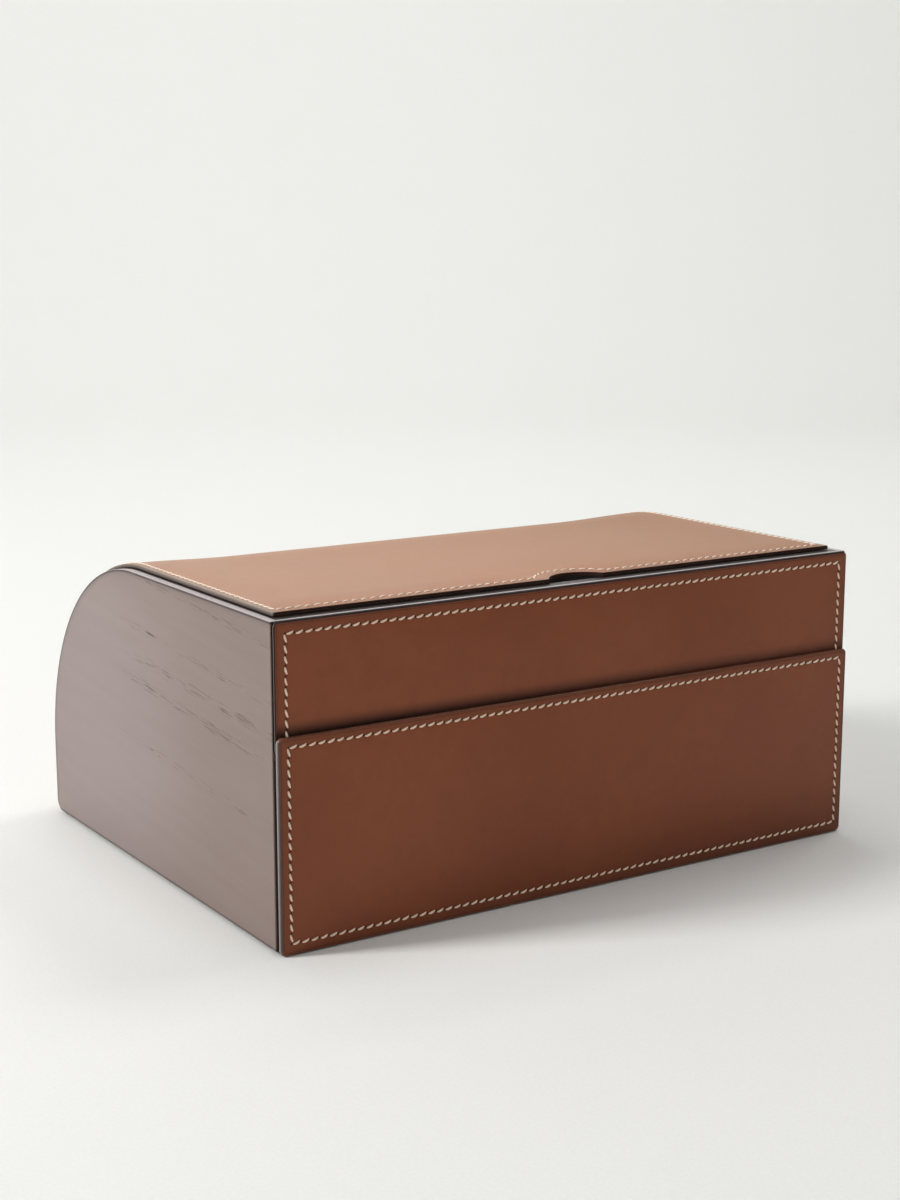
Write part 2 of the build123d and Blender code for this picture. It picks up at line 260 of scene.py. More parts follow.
# ---------------------------------------------------------------- stitch rows
class Row:
    """A straight row of stitches between two points of a flat sheet, hole to hole."""

    def __init__(self, u0, v0, u1, v1):
        self.start = (u0, v0)
        self.length = hypot(u1 - u0, v1 - v0)
        self.angle = atan2(v1 - v0, u1 - u0)
        self.count = max(1, round(self.length / STITCH_PITCH))
        self.pitch = self.length / self.count

    def stitches(self):
        """The middle and direction of each stitch."""
        for number in range(self.count):
            reach = (number + 0.5) * self.pitch
            yield (
                self.start[0] + reach * cos(self.angle),
                self.start[1] + reach * sin(self.angle),
                self.angle,
            )

    def shares(self, u, v):
        """Shader values in metres: how far a point is from the row's line and its nearest hole."""
        east, north = cos(self.angle), sin(self.angle)
        du = u - self.start[0] * MM
        dv = v - self.start[1] * MM
        along = du * east + dv * north
        aside = abs(dv * east - du * north)
        beyond = abs(along - self.length / 2 * MM) < (self.length / 2 + 0.5) * MM
        return along.beside(self.pitch * MM), aside, beyond


class Arc:
    """A row of stitches round the thumb notch."""

    def __init__(self, centre_v, radius, row_v):
        self.centre_v = centre_v
        self.radius = radius
        self.half = pi / 2 - asin((row_v - centre_v) / radius)
        self.half_width = radius * sin(self.half)
        self.count = round(2 * self.half * radius / STITCH_PITCH)
        self.turn = 2 * self.half / self.count

    def stitches(self):
        for number in range(self.count):
            bearing = (number + 0.5) * self.turn - self.half
            yield (
                self.radius * sin(bearing),
                self.centre_v + self.radius * cos(bearing),
                -bearing,
            )

    def shares(self, u, v):
        rise = v - self.centre_v * MM
        bearing = u.maths("ARCTAN2", rise)
        radius = (u * u + rise * rise).root()
        aside = abs(radius - self.radius * MM)
        near = (bearing + self.half).beside(self.turn) * (self.radius * MM)
        return near, aside, abs(bearing) < self.half + 0.02


# How far the rows lie from the borders of their sheets.
UPPER_INSET_TOP = 5.1
UPPER_INSET_SIDE = 5.3
UPPER_INSET_FOOT = 2.0
DRAWER_INSET_TOP = 4.0
DRAWER_INSET_SIDE = 4.8
DRAWER_INSET_FOOT = 5.3
COVER_INSET = 5.0
COVER_INSET_SIDE = 3.3
NOTCH_INSET = 7.0

upper_line = upper_high.z - UPPER_INSET_TOP
upper_foot = upper_low.z + UPPER_INSET_FOOT
upper_column = upper_high.x - UPPER_INSET_SIDE
upper_rows = [
    Row(-upper_column, upper_line, upper_column, upper_line),
    Row(-upper_column, upper_line, -upper_column, upper_foot),
    Row(upper_column, upper_line, upper_column, upper_foot),
]

outer_top_line = outer_high.z - DRAWER_INSET_TOP
outer_low_line = outer_low.z + DRAWER_INSET_FOOT
outer_column = outer_high.x - DRAWER_INSET_SIDE
outer_rows = [
    Row(-outer_column, outer_top_line, outer_column, outer_top_line),
    Row(-outer_column, outer_top_line, -outer_column, outer_low_line),
    Row(outer_column, outer_top_line, outer_column, outer_low_line),
    Row(-outer_column, outer_low_line, outer_column, outer_low_line),
]

lid_line = LID_FRONT + COVER_INSET
lid_column = LID_HALF - COVER_INSET_SIDE
lid_end_line = LID_END - COVER_INSET
notch_arc = Arc(NOTCH_V, NOTCH_RADIUS + NOTCH_INSET, lid_line)
lid_rows = [
    Row(-lid_column, lid_line, -notch_arc.half_width, lid_line),
    notch_arc,
    Row(notch_arc.half_width, lid_line, lid_column, lid_line),
    Row(-lid_column, lid_end_line, -lid_column, lid_line),
    Row(lid_column, lid_end_line, lid_column, lid_line),
    Row(-lid_column, lid_end_line, lid_column, lid_end_line),
]

back_start_line = BACK_START + COVER_INSET
back_end_line = BACK_END - COVER_INSET
back_rows = [
    Row(-lid_column, back_start_line, lid_column, back_start_line),
    Row(-lid_column, back_end_line, lid_column, back_end_line),
    Row(-lid_column, back_end_line, -lid_column, back_start_line),
    Row(lid_column, back_end_line, lid_column, back_start_line),
]


# ---------------------------------------------------------------- finishes
# A hide's tones: two that cloud into each other, a deeper one in specks, and the worn one,
# which also gives painted shade. The front's hide is a darker copy of the lid's leather:
# painted shade for the front.
SHADED_FRONT_HIDE = [tone(136, 71, 41), tone(144, 77, 46), tone(121, 61, 35), tone(93, 46, 27)]
LID_HIDE = [tone(158, 87, 50), tone(166, 94, 56), tone(142, 75, 43), tone(112, 59, 34)]
LID_BORDER = (2.3, tone(128, 106, 92))
HIDE_SHEEN = (1.0, 0.9, 0.67, 1.0)
HOLE_SHADE = tone(24, 12, 8)
CREASE_SHADE = tone(58, 30, 19)
FOOT_SHADE = tone(36, 14, 4)
HOLE_ALONG = 0.46 * MM
HOLE_ASIDE = 0.42 * MM
CREASE_INSET = 1.3 * MM


def leather_finish(
    name,
    rows,
    borders,
    hide,
    notch=None,
    top_paint=None,
    side_paint=None,
    foot=None,
    shade_to_right=0.0,
    sheen=0.42,
):
    """Smooth saddle leather, pricked along its stitch rows and burnished along its borders.

    notch gives the middle and radius of the thumb notch; top_paint and side_paint give how
    far the edge paint comes over those borders and its tone; foot gives a height, a reach
    and the strengths at the left and right of a painted shadow over the lower part; deepened
    is how strongly painted shade darkens the leather from the middle to the right.
    """
    finish = Finish(name)
    u, v, _ = finish.parts(finish.stored("flat"))
    place = finish.place()

    left, right, low, high = (side * MM for side in borders)
    inside = (u - left).least(right - u).least(v - low).least(high - v)
    if notch is not None:
        rise = v - notch[0] * MM
        inside = inside.least((u * u + rise * rise).root() - notch[1] * MM)

    holes = None
    press = None
    for row in rows:
        near, aside, beyond = row.shares(u, v)
        prick = near * near * (1 / HOLE_ALONG ** 2) + aside * aside * (1 / HOLE_ASIDE ** 2)
        prick = prick.smooth(0.3, 1.4, 1.0, 0.0) * beyond
        groove = aside.smooth(0.2e-3, 1.6e-3, 1.0, 0.0) * beyond
        holes = prick if holes is None else holes.greatest(prick)
        press = groove if press is None else press.greatest(groove)

    clouds = finish.noise(place, 14.0, 3.0, 0.55)
    fine = finish.noise(place, 160.0, 4.0, 0.6)
    pores = finish.cells(place, 2300.0)
    grain = finish.noise(place, 900.0, 3.0, 0.55)

    worn = inside.smooth(0.8e-3, 6.0e-3, 1.0, 0.0)
    colour = finish.blend(clouds.smooth(0.3, 0.7), hide[0], hide[1])
    colour = finish.blend(fine.smooth(0.35, 0.75, 0.0, 0.25), colour, hide[2])
    colour = finish.blend(worn * 0.3, colour, hide[3])
    colour = finish.blend(press * 0.25, colour, hide[3])
    gloss = clouds.smooth(0.2, 0.8, 0.33, 0.38) + holes * 0.55
    # Painted shade: the leather darkens from the middle to the right, and grows less glossy there.
    if shade_to_right:
        colour = finish.blend(u.smooth(-0.03, 0.16, 0.0, shade_to_right), colour, hide[3])
        gloss = gloss + u.smooth(-0.16, 0.16, 0.0, shade_to_right * 0.45)
    # Painted shadow: the leather darkens over its lower part, by the given strengths at left and
    # right.
    if foot is not None:
        start, reach, at_left, at_right = foot
        foot_shadow = (v - start * MM).smooth(0.0, reach * MM, 1.0, 0.0)
        foot_shadow = foot_shadow * u.smooth(-0.15, 0.15, at_left, at_right)
        colour = finish.blend(foot_shadow, colour, FOOT_SHADE)
        gloss = gloss + foot_shadow * 0.4
    crease = abs(inside - CREASE_INSET).smooth(0.1e-3, 0.4e-3, 1.0, 0.0)
    colour = finish.blend(crease * 0.4, colour, CREASE_SHADE)
    if side_paint is not None:
        reach, paint = side_paint
        band = (u - left).least(right - u).smooth((reach - 0.35) * MM, reach * MM, 1.0, 0.0)
        colour = finish.blend(band, colour, paint)
    if top_paint is not None:
        reach, paint = top_paint
        band = (high - v).smooth((reach - 0.2) * MM, reach * MM, 1.0, 0.0)
        colour = finish.blend(band, colour, paint)
    colour = finish.blend(holes * 0.85, colour, HOLE_SHADE)

    relief = pores * 0.25 + grain * 0.3
    relief = relief - holes * 5.0 - press * 2.2 - crease * 1.6
    return finish.seal(
        Base_Color=colour,
        Roughness=gloss,
        Specular_IOR_Level=0.25,
        Sheen_Weight=sheen,
        Sheen_Tint=HIDE_SHEEN,
        Sheen_Roughness=0.4,
        Normal=finish.bump(relief, 0.06e-3, 0.6),
    )


# The height over which an edge's painted side light and shade run, and how far in from the side
# they fade.
EDGE_RISE = 2.1 * MM
SIDE_FADE = (0.9, 0.5)


def edge_finish(name, first, second, half, sides, gloss=0.5, mirror=0.03):
    """Burnished and painted leather edges, with painted light and shade where they face the sides.

    half is where the sheet ends across the box, and sides are the tones of its side edges,
    from the sheet's back to its face, painted light and shade; gloss is their roughness and
    mirror their reflection.
    """
    finish = Finish(name)
    place = finish.place()
    u, _, h = finish.parts(finish.stored("flat"))
    swell = finish.noise(place, 120.0, 3.0, 0.6)
    specks = finish.noise(place, 1500.0, 2.0, 0.5)
    colour = finish.blend(swell.smooth(0.3, 0.7), first, second)
    # The side edges get painted light and shade: tones that run from the sheet's back to its face.
    climb = h / EDGE_RISE + (swell - 0.5) * 0.1
    painted_side_light = finish.node("ShaderNodeValToRGB", {"stops": sides}, [climb])
    side = abs(u).smooth((half - SIDE_FADE[0]) * MM, (half - SIDE_FADE[1]) * MM)
    colour = finish.blend(side, colour, painted_side_light)
    return finish.seal(
        Base_Color=colour,
        Roughness=specks.smooth(0.3, 0.7, gloss - 0.05, gloss + 0.05),
        Specular_IOR_Level=mirror,
        Normal=finish.bump(swell + specks * 0.15, 0.12e-3, 0.6),
    )


def thread_finish(name, pale, deep, twist_shade):
    """Waxed linen thread, two strands twisted, with painted shade in the hollows of the twist."""
    finish = Finish(name)
    strand = finish.stored("strand")
    along, aside, _ = finish.parts(strand)
    twist = ((along * 5200.0 + aside * 3800.0).maths("SINE") + 1.0) * 0.5
    soiling_and_shade = finish.noise(finish.place(), 260.0, 2.0, 0.5)
    colour = finish.blend(soiling_and_shade.smooth(0.3, 0.7), pale, deep)
    colour = finish.blend((1.0 - twist) * 0.15, colour, twist_shade)
    return finish.seal(
        Base_Color=colour,
        Roughness=0.4,
        Specular_IOR_Level=0.9,
        Coat_Weight=0.5,
        Coat_Roughness=0.3,
        Sheen_Weight=1.0,
        Sheen_Roughness=0.35,
        Sheen_Tint=(1.0, 0.86, 0.72, 1.0),
        Normal=finish.bump(twist, 0.12e-3, 0.5),
    )


# The stained panels' rim, in millimetres: a painted dark line of shade just inside it,
# painted shade below the line, a painted highlight on the top beside and in front of the lid
# with painted shade nearest the lid, and a painted contact shadow next to the floor.
LINE_INSET = 0.6
LINE_HALF = 0.4
EDGE_SHADE_REACH = 4.2
LIT_RIM_SIDE = 156.2
LIT_RIM_FRONT = -118.5
CONTACT_SHADOW_TOP = 2.4
ARRIS_SHADE_TONE = tone(56, 38, 34)
EDGE_SHADE_TONE = tone(84, 66, 60)
SHADED_TONE = tone(48, 40, 38)
CONTACT_SHADOW_TONE = tone(66, 54, 50)
# A pale cool tone, painted as a reflection on the side panels.
REFLECTION_TONE = tone(142, 128, 127)


def wood_finish(
    name, turn, light, dark, pore, shine=0.36, flecks=1.0, figure=0.03, streaks=(), rim=None
):
    """Stained and lacquered wood; turned so that its grain runs along the mapped X axis.

    shine is its roughness, flecks how strongly its open pores show, and figure how strongly
    its growth lines do. streaks are heights where dark flecks gather, each with its reach;
    they also bring a painted reflection, a pale patch on the side. rim is the tone of the top
    edge's painted highlight, which follows the rounded shoulder; with it come painted shade
    under and beside that edge and a painted contact shadow next to the floor.
    """
    finish = Finish(name)
    seat = finish.place()
    width, depth, height = finish.parts(seat)
    place = finish.mapped(seat, turn=turn)
    broad = finish.noise(finish.mapped(place, scale=(5.0, 20.0, 20.0)), 1.0, 2.0, 0.5, 0.3)
    bands = finish.noise(finish.mapped(place, scale=(9.0, 130.0, 130.0)), 1.0, 3.0, 0.55, 0.2)
    lines = finish.noise(finish.mapped(place, scale=(26.0, 950.0, 950.0)), 1.0, 3.0, 0.6)
    clumps = finish.noise(
        finish.mapped(place, scale=(16.0, 70.0, 70.0), shift=(0.3, 0.7, 0.2)), 1.0, 2.0, 0.5
    )
    vessels = finish.noise(finish.mapped(place, scale=(64.0, 2600.0, 2600.0)), 1.0, 2.0, 0.45)
    tint = broad.smooth(0.3, 0.7) * 0.7 + bands.smooth(0.3, 0.7) * 0.3
    colour = finish.blend(tint, light, dark)
    colour = finish.blend(lines.smooth(0.45, 0.75, 0.0, figure), colour, pore)
    spread = clumps.smooth(0.62, 0.76, 0.0, 0.3)
    if streaks:
        forward = depth.smooth(0.0, 0.045, 1.0, 0.0)
        for middle, reach in streaks:
            aside = abs(height - depth * 0.07 - middle * MM)
            near = aside.smooth(reach * 0.3 * MM, reach * MM, 1.0, 0.0) * forward
            spread = spread.greatest(near * clumps.smooth(0.36, 0.54))
        # Painted reflection: a pale, cool patch towards the back and middle of the side.
        reflection_y, reflection_z = depth - 0.06, height - 0.055
        pale = (reflection_y * reflection_y + reflection_z * reflection_z).root().smooth(0.02, 0.14, 0.6, 0.0)
        colour = finish.blend(pale, colour, REFLECTION_TONE)
    open_pores = vessels.smooth(0.57, 0.64) * spread
    colour = finish.blend(open_pores * (0.95 * flecks), colour, pore)
    if rim is not None:
        round_y = (depth - SHOULDER_Y * MM).greatest(0.0)
        round_z = (height - SHOULDER_Z * MM).greatest(0.0)
        outer = (round_y * round_y + round_z * round_z).root()
        edge = outer.smooth((SHOULDER_RADIUS - 0.3) * MM, (SHOULDER_RADIUS - 0.1) * MM)
        line_place = (SHOULDER_RADIUS - LINE_INSET) * MM
        # Painted shade: a dark line just under the top edge, and darker wood fading below it.
        line = abs(outer - line_place).smooth(LINE_HALF * MM, (LINE_HALF + 0.25) * MM, 0.95, 0.0)
        soiling_and_shade = outer.smooth((SHOULDER_RADIUS - EDGE_SHADE_REACH) * MM, line_place, 0.0, 0.35)
        # The top edge: a painted highlight away from the lid, painted shade next to it.
        front_strip = depth.smooth(LIT_RIM_FRONT * MM, (LIT_RIM_FRONT + 0.4) * MM, 1.0, 0.0)
        lit_rim = abs(width).smooth(LIT_RIM_SIDE * MM, (LIT_RIM_SIDE + 0.6) * MM).greatest(front_strip)
        # A painted contact shadow along the bottom of the wood.
        contact_shadow = height.smooth(CONTACT_SHADOW_TOP * MM, (CONTACT_SHADOW_TOP + 1.0) * MM, 0.8, 0.0)
        colour = finish.blend(contact_shadow, colour, CONTACT_SHADOW_TONE)
        colour = finish.blend(soiling_and_shade, colour, EDGE_SHADE_TONE)
        colour = finish.blend(line, colour, ARRIS_SHADE_TONE)
        colour = finish.blend(edge, colour, finish.blend(lit_rim, SHADED_TONE, rim))
    relief = lines * 0.15 - open_pores * 1.2
    return finish.seal(
        Base_Color=colour,
        Roughness=bands.smooth(0.3, 0.7, shine - 0.02, shine + 0.03) + open_pores * 0.15,
        Normal=finish.bump(relief, 0.05e-3, 0.5),
    )


def suede_finish():
    """Tan suede with a short brushed nap."""
    finish = Finish("tan_suede")
    place = finish.place()
    brushed = finish.noise(place, 22.0, 3.0, 0.6, 0.6)
    nap = finish.noise(place, 1400.0, 3.0, 0.7)
    tufts = finish.noise(place, 420.0, 3.0, 0.6)
    colour = finish.blend(brushed.smooth(0.3, 0.7), tone(163, 117, 80), tone(171, 125, 87))
    colour = finish.blend(nap.smooth(0.4, 0.7, 0.0, 0.4), colour, tone(128, 86, 56))
    return finish.seal(
        Base_Color=colour,
        Roughness=0.92,
        Sheen_Weight=0.25,
        Sheen_Roughness=0.5,
        Normal=finish.bump(nap * 0.7 + tufts * 0.5, 0.25e-3, 0.7),
    )


def metal_finish(name, colour, worn, turn):
    """Satin metal, brushed along one direction."""
    finish = Finish(name)
    place = finish.mapped(finish.place(), turn=turn, scale=(60.0, 2600.0, 2600.0))
    brushed = finish.noise(place, 1.0, 3.0, 0.6)
    handled = finish.noise(finish.place(), 90.0, 3.0, 0.6)
    shade = finish.blend(handled.smooth(0.35, 0.75), colour, worn)
    return finish.seal(
        Base_Color=shade,
        Metallic=1.0,
        Roughness=handled.smooth(0.3, 0.7, 0.26, 0.4) + brushed * 0.06,
        Normal=finish.bump(brushed, 0.02e-3, 0.4),
    )


def felt_finish():
    """Dark wool felt."""
    finish = Finish("wool_felt")
    place = finish.place()
    fibres = finish.noise(place, 900.0, 4.0, 0.75, 1.2)
    matted = finish.noise(place, 260.0, 3.0, 0.6)
    colour = finish.blend(fibres.smooth(0.35, 0.7), tone(46, 42, 40), tone(78, 72, 68))
    return finish.seal(
        Base_Color=colour,
        Roughness=0.95,
        Sheen_Weight=0.3,
        Normal=finish.bump(fibres + matted * 0.6, 0.35e-3, 0.8),
    )


# The lid's edges: dark edge paint, the side edges lighter towards the top as painted light.
lid_edge = edge_finish(
    "lid_edge_paint",
    tone(58, 43, 40),
    tone(72, 54, 48),
    LID_HALF,
    [
        (0.04, tone(30, 26, 25)),
        (0.16, tone(76, 69, 66)),
        (0.5, tone(112, 102, 98)),
        (0.95, tone(146, 131, 122)),
    ],
)
# The upper panel's edges: on the sides a near-black back part, painted as the shadow of the gap
# beside the wood, then a painted highlight line, then the dark edge paint.
upper_edge = edge_finish(
    "upper_panel_edge_paint",
    tone(46, 40, 40),
    tone(58, 50, 50),
    upper_high.x,
    [
        (0.0, tone(8, 6, 6)),
        (0.56, tone(10, 8, 7)),
        (0.64, tone(120, 110, 108)),
        (0.72, tone(104, 94, 92)),
        (0.8, tone(62, 34, 28)),
    ],
)
# The drawer panel's edges: brown edge paint; the side edges pale grey at the back darkening to the
# face, painted light as on a rounded edge lit from the side.
outer_edge = edge_finish(
    "drawer_panel_edge_paint",
    tone(104, 62, 44),
    tone(116, 72, 52),
    outer_high.x,
    [
        (0.0, tone(160, 150, 146)),
        (0.3, tone(124, 113, 110)),
        (0.6, tone(96, 84, 81)),
        (0.95, tone(64, 54, 50)),
    ],
    gloss=0.22,
    mirror=0.5,
)
# The backing's edges: near-black edge paint, and on the sides a painted shadow of the gap beside
# the wood.
backing_edge = edge_finish(
    "drawer_backing_edge_paint",
    tone(20, 15, 13),
    tone(30, 23, 20),
    backing_high.x,
    [(0.0, tone(10, 8, 7)), (1.0, tone(16, 12, 11))],
)
# Both are the same thread; the lid's copy is whiter, painted light for the lid's brighter lit
# rows.
panel_thread = thread_finish(
    "panel_thread", tone(255, 231, 207), tone(255, 224, 197), tone(234, 190, 162)
)
lit_lid_thread = thread_finish(
    "lit_lid_thread", tone(255, 242, 224), tone(255, 236, 215), tone(240, 204, 178)
)
suede = suede_finish()
brass = metal_finish("satin_brass", tone(196, 158, 92), tone(158, 120, 66), (0, 0, 0))
steel = metal_finish("zinc_steel", tone(176, 178, 182), tone(140, 142, 148), (0, 0, 0))
felt = felt_finish()

GRAIN_SLOPE = radians(4.5)
# Heights and reaches of the fleck streaks, in millimetres.
FLECK_STREAKS = [(62.0, 2.2), (91.0, 3.4), (102.5, 3.4), (116.5, 2.4), (141.0, 2.0)]
side_turn = (-GRAIN_SLOPE, 0, radians(-90))
stain_light = tone(129, 110, 104)
stain_dark = tone(122, 103, 97)
stain_pore = tone(60, 47, 43)
# The sides' rim tone is the painted highlight of their top edge.
side_wood = wood_finish(
    "stained_wood_sides",
    side_turn,
    stain_light,
    stain_dark,
    stain_pore,
    streaks=FLECK_STREAKS,
    rim=tone(178, 168, 168),
)
cross_wood = wood_finish("stained_wood_boards", (0, 0, 0), stain_light, stain_dark, stain_pore)
# The rail's rim tone is the painted highlight of its top edge.
rail_wood = wood_finish(
    "stained_wood_rail", (0, 0, 0), stain_light, stain_dark, stain_pore, rim=tone(184, 175, 175)
)
core_wood = wood_finish(
    "blackened_lid_core",
    (0, 0, 0),
    tone(36, 30, 28),
    tone(26, 21, 20),
    tone(12, 10, 9),
    shine=0.42,
)
box_light = tone(196, 164, 124)
box_dark = tone(176, 140, 100)
box_pore = tone(120, 88, 58)
drawer_look = {"shine": 0.5, "flecks": 1.6, "figure": 0.5}
drawer_wood_long = wood_finish(
    "drawer_wood_long", (0, 0, radians(-90)), box_light, box_dark, box_pore, **drawer_look
)
drawer_wood_cross = wood_finish(
    "drawer_wood_cross", (0, 0, 0), box_light, box_dark, box_pore, **drawer_look
)

NODE_FINISHES = {
    side_wood: ["side_panel_left", "side_panel_right"],
    cross_wood: ["bottom_board", "back_panel", "compartment_floor"],
    rail_wood: ["front_rail"],
    core_wood: ["lid_core"],
    drawer_wood_long: [
        "drawer_side_left",
        "drawer_side_right",
        "drawer_bottom",
        "drawer_runner_left",
        "drawer_runner_right",
        "drawer_stops",
    ],
    drawer_wood_cross: ["drawer_back", "drawer_front_board"],
    suede: [
        "compartment_lining_floor",
        "compartment_lining_left",
        "compartment_lining_right",
        "compartment_lining_front",
        "lid_lining",
        "drawer_lining",
    ],
    brass: [
        "hinge_body_leaf_left",
        "hinge_body_leaf_right",
        "hinge_lid_leaf_left",
        "hinge_lid_leaf_right",
        "hinge_pin_left",
        "hinge_pin_right",
        "hinge_body_screws",
        "hinge_lid_screws",
    ],
    steel: ["runner_screws"],
}
for finish, names in NODE_FINISHES.items():
    for name in names:
        node = nodes[name]
        if not node.material_slots:
            node.data.materials.append(finish)
        for slot in node.material_slots:
            slot.material = finish


# ---------------------------------------------------------------- shaping
def slab(bm, outline, low, high):
    """A flat slab of an outline's shape between two heights."""
    face = bm.faces.new([bm.verts.new((u, v, low)) for u, v in outline])
    risen = bmesh.ops.extrude_face_region(bm, geom=[face])["geom"]
    tops = [item for item in risen if isinstance(item, bmesh.types.BMVert)]
    bmesh.ops.translate(bm, vec=(0, 0, high - low), verts=tops)
    bmesh.ops.recalc_face_normals(bm, faces=bm.faces)


def round_edges(bm, edges, radius, steps):
    bmesh.ops.bevel(
        bm,
        geom=edges,
        offset=radius,
        offset_type="OFFSET",
        segments=steps,
        profile=0.5,
        affect="EDGES",
        material=-1,
        clamp_overlap=True,
    )


def edges_at(bm, height):
    """The edges that lie at a height."""
    return [
        edge for edge in bm.edges if all(abs(vert.co.z - height) < 1e-4 for vert in edge.verts)
    ]


def upright_edges(bm, low, high):
    """The edges that run from one height to another."""
    found = []
    for edge in bm.edges:
        ends = sorted(vert.co.z for vert in edge.verts)
        if abs(ends[0] - low) < 1e-4 and abs(ends[1] - high) < 1e-4:
            found.append(edge)
    return found


def cut_across(bm, axis, places):
    """Cuts the mesh square to an axis, so that it can be bent there."""
    normal = Vector((0, 0, 0))
    normal[axis] = 1
    for place in places:
        bmesh.ops.bisect_plane(
            bm,
            geom=[*bm.verts, *bm.edges, *bm.faces],
            plane_co=normal * place,
            plane_no=normal,
            dist=1e-4,
        )


def rectangle(left, right, low, high):
    return [(left, low), (right, low), (right, high), (left, high)]


def steps_between(start, end, longest):
    """Even places between two ends, no further apart than the longest step."""
    count = ceil((end - start) / longest)
    return [start + (end - start) * number / count for number in range(1, count)]


def paint_rims(bm):
    """Gives the sheet's edges the second finish, the edge paint."""
    bm.normal_update()
    for face in bm.faces:
        face.material_index = 1 if abs(face.normal.z) < 0.9 else 0


def settle(bm, place):
    """Stores the flat sheet's coordinates on its vertices, then bends it into place."""
    flat = bm.verts.layers.float_vector.new("flat")
    for vert in bm.verts:
        vert[flat] = vert.co * MM
        vert.co = place(*vert.co)


def make_piece(bm, name, body, finishes, replaced=(), crisp=35):
    """Turns a shape in millimetres into a piece that rides on a body."""
    bmesh.ops.scale(bm, vec=(MM, MM, MM), verts=bm.verts)
    mesh = bpy.data.meshes.new(name)
    bm.to_mesh(mesh)
    bm.free()
    for finish in finishes:
        mesh.materials.append(finish)
    mesh.shade_smooth()
    mesh.set_sharp_from_angle(angle=radians(crisp))
    piece = bpy.data.objects.new(name, mesh)
    scene.collection.objects.link(piece)
    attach(piece, body)
    if replaced:
        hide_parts(*replaced)
    return piece


def soft_step(share):
    share = min(max(share, 0.0), 1.0)
    return share * share * (3 - 2 * share)


# The sag's depth, and where it starts and over how far it grows: in from each side, back
# from the front edge, and, where it ends again, past the split.
SAG_DEPTH = 1.35
SAG_ACROSS = (3.0, 52.0)
SAG_RISE = (20.0, 110.0)
SAG_FADE = (5.0, 50.0)


def sag(u, v):
    """How far the leather's middle lies below its two ends."""
    across = soft_step((LID_HALF - SAG_ACROSS[0] - abs(u)) / SAG_ACROSS[1])
    rise = soft_step((v - LID_FRONT - SAG_RISE[0]) / SAG_RISE[1])
    fade = 1 - soft_step((v - SPLIT_V - SAG_FADE[0]) / SAG_FADE[1])
    return SAG_DEPTH * across * rise * fade


def over_shoulder(u, v, h):
    """A point of the flat sheet laid over the top, round the shoulder and down the back."""
    h = h - sag(u, v)
    if v <= SHOULDER_Y:
        return Vector((u, v, WOOD_TOP + h))
    if v >= UPRIGHT_V:
        return Vector((u, WOOD_BACK + h, SHOULDER_Z - (v - UPRIGHT_V)))
    turn = (v - SHOULDER_Y) / SKIN_RADIUS
    reach = SHOULDER_RADIUS + h
    return Vector((u, SHOULDER_Y + reach * sin(turn), SHOULDER_Z + reach * cos(turn)))


def on_front(back_plane):
    """Lays a flat sheet upright on a plane that faces the front."""

    def place(u, v, h):
        return Vector((u, back_plane - h, v))

    return place


# ---------------------------------------------------------------- leather pieces
def notched_outline():
    """The lid's leather laid flat: thumb notch in front, hinge recesses at the back."""
    half = asin(NOTCH_HALF / NOTCH_RADIUS)
    outline = [(-LID_HALF, LID_FRONT)]
    steps = 20
    for number in range(steps + 1):
        bearing = half * (2 * number / steps - 1)
        outline.append((NOTCH_RADIUS * sin(bearing), NOTCH_V + NOTCH_RADIUS * cos(bearing)))
    outline.append((LID_HALF, LID_FRONT))
    return outline + recessed_edge(LID_END, -LEAF_THICKNESS)


def recessed_edge(edge_v, depth):
    """The sheet's edge at the split, from right to left, stepped round the hinge leaves."""
    points = [(LID_HALF, edge_v)]
    for middle in (HINGE_X, -HINGE_X):
        points += [
            (middle + HINGE_HALF, edge_v),
            (middle + HINGE_HALF, edge_v + depth),
            (middle - HINGE_HALF, edge_v + depth),
            (middle - HINGE_HALF, edge_v),
        ]
    return points + [(-LID_HALF, edge_v)]


COVER_THICKNESS = 1.05
GLUE_LINE = 0.02
COVER_ROUND = 0.45
SEAM_ROUND = 0.12
LINER_ROUND = 0.2


def two_layers(bm, outline):
    """Cover and liner leathers, glued, each with its own rounded edge."""
    seam = SKIN_TOP - COVER_THICKNESS
    liner_top = seam - GLUE_LINE
    slab(bm, outline, seam, SKIN_TOP)
    round_edges(bm, edges_at(bm, SKIN_TOP), COVER_ROUND, 4)
    round_edges(bm, edges_at(bm, seam), SEAM_ROUND, 2)
    slab(bm, outline, SKIN_LOW, liner_top)
    round_edges(bm, edges_at(bm, liner_top), SEAM_ROUND, 2)
    round_edges(bm, edges_at(bm, SKIN_LOW), LINER_ROUND, 2)


# The longest steps between cuts: on the flat top, round the bend, near the sides, and
# across the even middle.
TOP_STEP = 12.0
BEND_STEP = 4.5
SIDE_STEP = 6.0
MIDDLE_STEP = 22.0
MIDDLE_HALF = 90.0

top_cuts = steps_between(LID_FRONT + TOP_STEP, SHOULDER_Y, TOP_STEP) + [SHOULDER_Y]
bend_cuts = steps_between(SHOULDER_Y, UPRIGHT_V, BEND_STEP)
width_cuts = (
    steps_between(-LID_HALF, -MIDDLE_HALF, SIDE_STEP)
    + [-MIDDLE_HALF]
    + steps_between(-MIDDLE_HALF, MIDDLE_HALF, MIDDLE_STEP)
    + [MIDDLE_HALF]
    + steps_between(MIDDLE_HALF, LID_HALF, SIDE_STEP)
)

